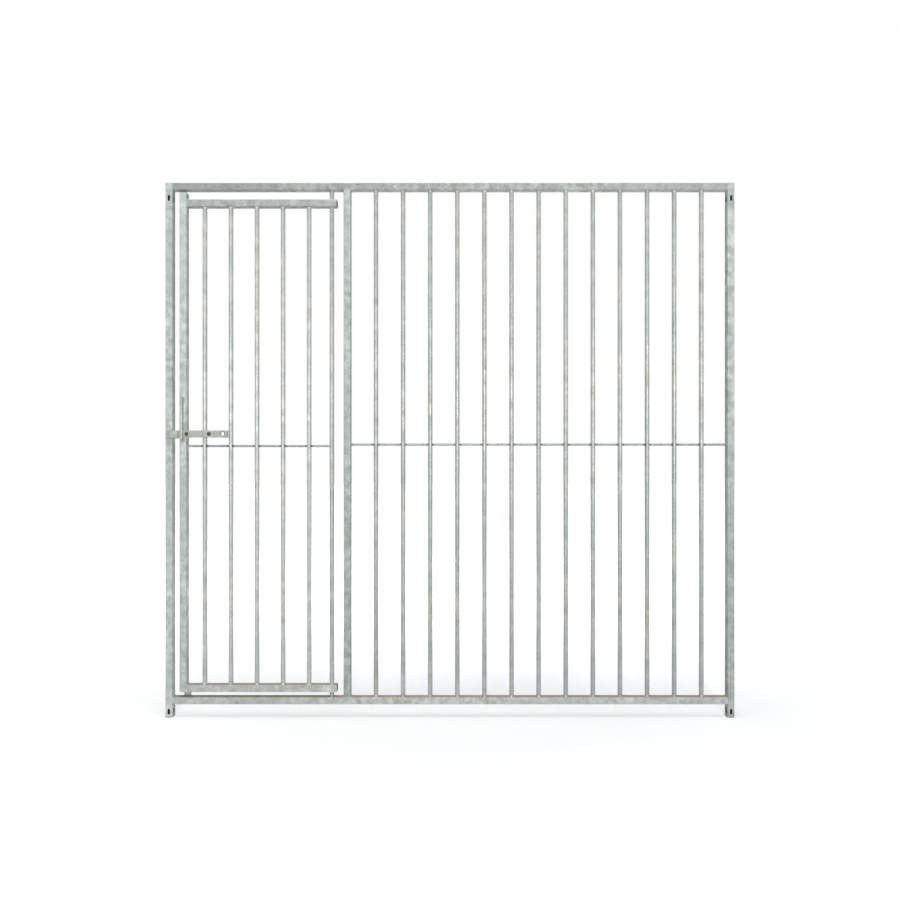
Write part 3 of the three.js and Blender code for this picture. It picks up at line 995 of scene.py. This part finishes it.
# %% [markdown]
# ## Weld beads
#
# Every joint of the panel is a short run of weld. On a real bead the pool of molten metal freezes
# in ripples, like fish scales, every few millimetres. The tree below takes plain edges, turns them
# into curves, and sweeps a circle along each whose radius swells and shrinks with the length run
# and with noise. Each edge lies just under the surface, so only the crown of the bead shows.

# %% The tree for rippled beads
bead_tree, bead = new_tree(
    "rippled_weld_bead",
    {
        "Ripple Length": "Float",
        "Ripple Depth": "Float",
        "Unevenness": "Float",
        "Seed": "Int",
        "Material": "Material",
    },
)
seam_curves = add_node(bead_tree, "GeometryNodeMeshToCurve", None, {"Mesh": bead["Geometry"]})
seam_steps = add_node(
    bead_tree, "GeometryNodeResampleCurve", {"mode": "LENGTH"},
    {"Curve": seam_curves, "Length": 0.9 * MM},
)
size_here = add_node(
    bead_tree, "GeometryNodeInputNamedAttribute", {"data_type": "FLOAT"}, {"Name": "bead_radius"}
)
run_length = add_node(bead_tree, "GeometryNodeSplineParameter").outputs["Length"]
turns = add_node(
    bead_tree, "ShaderNodeMath", {"operation": "DIVIDE"}, {0: run_length, 1: bead["Ripple Length"]}
)
phase = add_node(bead_tree, "ShaderNodeMath", TIMES, {0: turns, 1: 2 * math.pi})
wave = add_node(bead_tree, "ShaderNodeMath", {"operation": "SINE"}, {0: phase})
bead_noise = add_node(
    bead_tree, "ShaderNodeTexNoise", {"noise_dimensions": "4D"},
    {"W": bead["Seed"], "Scale": size_to_scale(6), "Detail": 2},
)
thick_or_thin = add_node(bead_tree, "ShaderNodeMath", MINUS, {0: bead_noise.outputs["Fac"], 1: 0.5})
rough = add_node(
    bead_tree, "ShaderNodeMath", {"operation": "MULTIPLY_ADD"},
    {0: thick_or_thin, 1: bead["Unevenness"], 2: 1.0},
)
swell = add_node(
    bead_tree, "ShaderNodeMath", {"operation": "MULTIPLY_ADD"},
    {0: wave, 1: bead["Ripple Depth"], 2: rough},
)
bead_radius = add_node(bead_tree, "ShaderNodeMath", TIMES, {0: size_here, 1: swell})
bead_section = add_node(
    bead_tree, "GeometryNodeCurvePrimitiveCircle", None, {"Resolution": 10, "Radius": 1.0}
)
bead_skin = add_node(
    bead_tree, "GeometryNodeCurveToMesh", None,
    {
        "Curve": seam_steps,
        "Profile Curve": bead_section,
        "Scale": bead_radius,
        "Fill Caps": True,
    },
)
close_tree(bead_tree, bead_skin, bead["Material"])


# %% Edges for the seams, one mesh for each body
class Seams:
    def __init__(self):
        self.points = []
        self.edges = []
        self.radii = []

    def line(self, start, end, radius):
        first = len(self.points)
        self.points += [Vector(start), Vector(end)]
        self.radii += [radius, radius]
        self.edges.append((first, first + 1))

    def loop(self, points, radius):
        first, steps = len(self.points), len(points)
        self.points += points
        self.radii += [radius] * steps
        self.edges += [(first + i, first + (i + 1) % steps) for i in range(steps)]

    def ring(self, centre, across, normal_axis, radius, steps=20):
        axes = [axis for axis in range(3) if axis != normal_axis]
        points = []
        for i in range(steps):
            point = Vector(centre)
            angle = 2 * math.pi * i / steps
            point[axes[0]] += across / 2 * math.cos(angle)
            point[axes[1]] += across / 2 * math.sin(angle)
            points.append(point)
        self.loop(points, radius)

    def mesh(self, name):
        data = bpy.data.meshes.new(name)
        data.from_pydata(self.points, self.edges, [])
        sizes = data.attributes.new("bead_radius", "FLOAT", "POINT")
        sizes.data.foreach_set("value", self.radii)
        return data


# Radii of the beads, how deep the middle of a butt weld lies, and how far seams stay from the
# ends of the edges that they follow.
BUTT = 1.9 * MM
BUTT_DEPTH = 1.4 * MM
CORNER = 2.3 * MM
CORNER_ROUND = 4 * MM
THIN = 1.6 * MM
FLAT = 1.8 * MM
SHORT_OF_END = 2 * MM
ROUND_ROD = 9 * MM


def seam_up(seams, x, z0, z1):
    for y in (front_y + BUTT_DEPTH, back_y - BUTT_DEPTH):
        seams.line((x, y, z0), (x, y, z1), BUTT)


def seam_across(seams, x0, x1, z):
    for y in (front_y + BUTT_DEPTH, back_y - BUTT_DEPTH):
        seams.line((x0, y, z), (x1, y, z), BUTT)


def inner_corner(seams, x, z):
    seams.line((x, front_y + CORNER_ROUND, z), (x, back_y - CORNER_ROUND, z), CORNER)


# %% Seams of the frame
frame_seams = Seams()
rail_low, rail_high = node_box("top_rail")
sill_low, sill_high = node_box("bottom_rail")
door_post_low, door_post_high = node_box("door_post")
for low, high in ((rail_low, rail_high), (sill_low, sill_high)):
    for x in (low.x, high.x):
        seam_up(frame_seams, x, low.z + SHORT_OF_END, high.z - SHORT_OF_END)
for x in (rail_low.x, rail_high.x):
    for z in (rail_low.z, sill_high.z, sill_low.z):
        inner_corner(frame_seams, x, z)
for z in (door_post_low.z, door_post_high.z):
    seam_across(frame_seams, door_post_low.x + SHORT_OF_END, door_post_high.x - SHORT_OF_END, z)
    inner_corner(frame_seams, door_post_low.x, z)
    inner_corner(frame_seams, door_post_high.x, z)
tie_low, tie_high = node_box("panel_tie_rod")
tie_centre = (tie_low + tie_high) / 2
for x in (tie_low.x, tie_high.x):
    frame_seams.ring((x, tie_centre.y, tie_centre.z), ROUND_ROD, 0, THIN)
keeper_seam_y = front_y - 0.2 * MM
keeper_seam_start = (keeper_low.x + SHORT_OF_END, keeper_seam_y, keeper_low.z)
keeper_seam_end = (post_high.x - 3 * MM, keeper_seam_y, keeper_low.z)
frame_seams.line(keeper_seam_start, keeper_seam_end, FLAT)
stop_low, stop_high = node_box("door_stop")
for x in (stop_low.x, stop_high.x):
    frame_seams.line((x, back_y, sill_low.z + 5 * MM), (x, back_y, sill_high.z - 4 * MM), FLAT)
ripples = {"Ripple Length": 3.2 * MM, "Ripple Depth": 0.1, "Unevenness": 0.5, "Material": zinc_weld}
frame_welds = grow("frame_welds", bead_tree, {**ripples, "Seed": 5}, frame_seams.mesh("frame_seams"))
rest_on("frame", shade_by_angle(frame_welds, 60), zinc_weld)

# %% Seams of the door
door_seams = Seams()
head_low, head_high = node_box("door_top_rail")
foot_low, foot_high = node_box("door_bottom_rail")
for low, high in ((head_low, head_high), (foot_low, foot_high)):
    seam_up(door_seams, low.x, low.z + SHORT_OF_END, high.z - SHORT_OF_END)
inner_corner(door_seams, head_low.x, head_low.z)
inner_corner(door_seams, head_low.x, head_high.z)
inner_corner(door_seams, foot_low.x, foot_high.z)
pivot_low, pivot_high = node_box("door_pivot_bar")
pivot_centre = (pivot_low + pivot_high) / 2
for z in (head_high.z, head_low.z, foot_high.z, foot_low.z):
    door_seams.ring((pivot_centre.x, pivot_centre.y, z), BAR_DIAMETER + MM, 2, BUTT)
door_tie_low, door_tie_high = node_box("door_tie_rod")
door_tie_centre = (door_tie_low + door_tie_high) / 2
for x in (door_tie_low.x, door_tie_high.x - 2.5 * MM):
    door_seams.ring((x, door_tie_centre.y, door_tie_centre.z), ROUND_ROD, 0, THIN)
for corner in (corners[0], corners[3]):
    door_seams.ring(corner, ROUND_ROD, 1, 1.7 * MM)
hinge_plate_low, hinge_plate_high = node_box("latch_pivot_plate")
bar_1_low, bar_1_high = node_box("door_bar_1")
bar_1_x = (bar_1_low.x + bar_1_high.x) / 2
plate_middle_y = (hinge_plate_low.y + hinge_plate_high.y) / 2
plate_foot, plate_head = hinge_plate_low.z + SHORT_OF_END, hinge_plate_high.z - SHORT_OF_END
for x, y in (
    (hinge_plate_high.x + 0.6 * MM, plate_middle_y),
    (bar_1_x - 7 * MM, hinge_plate_high.y),
    (bar_1_x + 7 * MM, hinge_plate_high.y),
):
    door_seams.line((x, y, plate_foot), (x, y, plate_head), 2.2 * MM)
door_welds = grow("door_welds", bead_tree, {**ripples, "Seed": 9}, door_seams.mesh("door_seams"))
rest_on("door", shade_by_angle(door_welds, 60), zinc_weld)

# %% [markdown]
# ## Runs and drips of zinc
#
# As the panel is lifted out of the bath, zinc drains off it and the last of it freezes as small
# beads along lower edges, round holes and in the slots, whose outlines it makes uneven. The tree
# walks along edges, drops a few points on them at random with a fixed seed, and puts a stretched
# droplet on each, which noise then makes uneven.

# %% The tree for droplets
drip_tree, drip = new_tree(
    "zinc_droplets",
    {
        "Spacing": "Float",
        "Kept": "Float",
        "Droplet": "Float",
        "Seed": "Int",
        "Material": "Material",
    },
)
edge_curves = add_node(drip_tree, "GeometryNodeMeshToCurve", None, {"Mesh": drip["Geometry"]})
drip_points = add_node(
    drip_tree, "GeometryNodeCurveToPoints", {"mode": "LENGTH"},
    {"Curve": edge_curves, "Length": drip["Spacing"]},
)
chance = add_node(
    drip_tree, "FunctionNodeRandomValue", {"data_type": "BOOLEAN"},
    {"Probability": drip["Kept"], "Seed": drip["Seed"]},
)
sizes = add_node(
    drip_tree, "FunctionNodeRandomValue", {"data_type": "FLOAT_VECTOR"},
    {"Min": (0.45, 0.45, 0.7), "Max": (1.0, 1.0, 1.9), "Seed": drip["Seed"]},
)
droplet = add_node(
    drip_tree, "GeometryNodeMeshUVSphere", None, {"Segments": 12, "Rings": 8, "Radius": drip["Droplet"]}
)
droplets = add_node(
    drip_tree, "GeometryNodeInstanceOnPoints", None,
    {
        "Points": drip_points,
        "Selection": chance.outputs["Value"],
        "Instance": droplet,
        "Scale": sizes.outputs["Value"],
    },
)
real_droplets = add_node(drip_tree, "GeometryNodeRealizeInstances", None, {"Geometry": droplets})
droplet_noise = add_node(
    drip_tree, "ShaderNodeTexNoise", {"noise_dimensions": "4D"},
    {"W": drip["Seed"], "Scale": size_to_scale(2.5), "Detail": 1},
)
out_or_in = add_node(drip_tree, "ShaderNodeMath", MINUS, {0: droplet_noise.outputs["Fac"], 1: 0.55})
droplet_swell = add_node(drip_tree, "ShaderNodeMath", TIMES, {0: out_or_in, 1: drip["Droplet"]})
outward = add_node(drip_tree, "GeometryNodeInputNormal")
droplet_move = add_node(drip_tree, "ShaderNodeVectorMath", SCALED, {0: outward, "Scale": droplet_swell})
uneven_droplets = add_node(
    drip_tree, "GeometryNodeSetPosition", None,
    {"Geometry": real_droplets, "Offset": droplet_move},
)
close_tree(drip_tree, uneven_droplets, drip["Material"])


# %% Droplets in the slots
SLOT_ROUND = 4.3 * MM
SLOT_STRAIGHT = 6 * MM
SLOT_FROM_FOOT = 22 * MM
SLOT_FROM_HEAD = 54 * MM
WALL_MIDDLE = 1 * MM


def slot_outline(seams, x, z, on_front):
    points = []
    for i in range(24):
        a = 2 * math.pi * i / 24
        side = SLOT_ROUND * math.cos(a)
        rise = SLOT_ROUND * math.sin(a) + (SLOT_STRAIGHT if math.sin(a) >= 0 else -SLOT_STRAIGHT)
        if on_front:
            points.append(Vector((x + side, front_y + WALL_MIDDLE, z + rise)))
        else:
            points.append(Vector((x, middle_y + side, z + rise)))
    seams.loop(points, 1.0)


slot_edges = Seams()
right_low, right_high = node_box("right_post")
for low, high, inner in (
    (post_low, post_high, post_high.x - WALL_MIDDLE),
    (right_low, right_high, right_low.x + WALL_MIDDLE),
):
    for z in (low.z + SLOT_FROM_FOOT, high.z - SLOT_FROM_HEAD):
        slot_outline(slot_edges, (low.x + high.x) / 2, z, True)
        slot_outline(slot_edges, inner, z, False)
slot_skin = tube_finishes["left_post"]
slot_drips = grow(
    "slot_drips", drip_tree,
    {"Spacing": 2.2 * MM, "Kept": 0.3, "Droplet": 0.8 * MM, "Seed": 21, "Material": slot_skin},
    slot_edges.mesh("slot_edges"),
)
rest_on("frame", shade_by_angle(slot_drips, 80), slot_skin)


# %% Droplets on the lower edges of the rails
def drips_under(body, rails, seed):
    edges = Seams()
    for low, high in rails:
        for y in (front_y + 1.6 * MM, back_y - 1.6 * MM):
            z = low.z + 0.4 * MM
            edges.line((low.x + 8 * MM, y, z), (high.x - 8 * MM, y, z), 1.0)
    drips = grow(
        f"{body}_drips", drip_tree,
        {"Spacing": 9 * MM, "Kept": 0.14, "Droplet": 1.1 * MM, "Seed": seed, "Material": zinc_weld},
        edges.mesh(f"{body}_edges"),
    )
    rest_on(body, shade_by_angle(drips, 80), zinc_weld)


drips_under("frame", ((sill_low, sill_high), (rail_low, rail_high)), 4)
drips_under("door", ((foot_low, foot_high), (head_low, head_high)), 8)
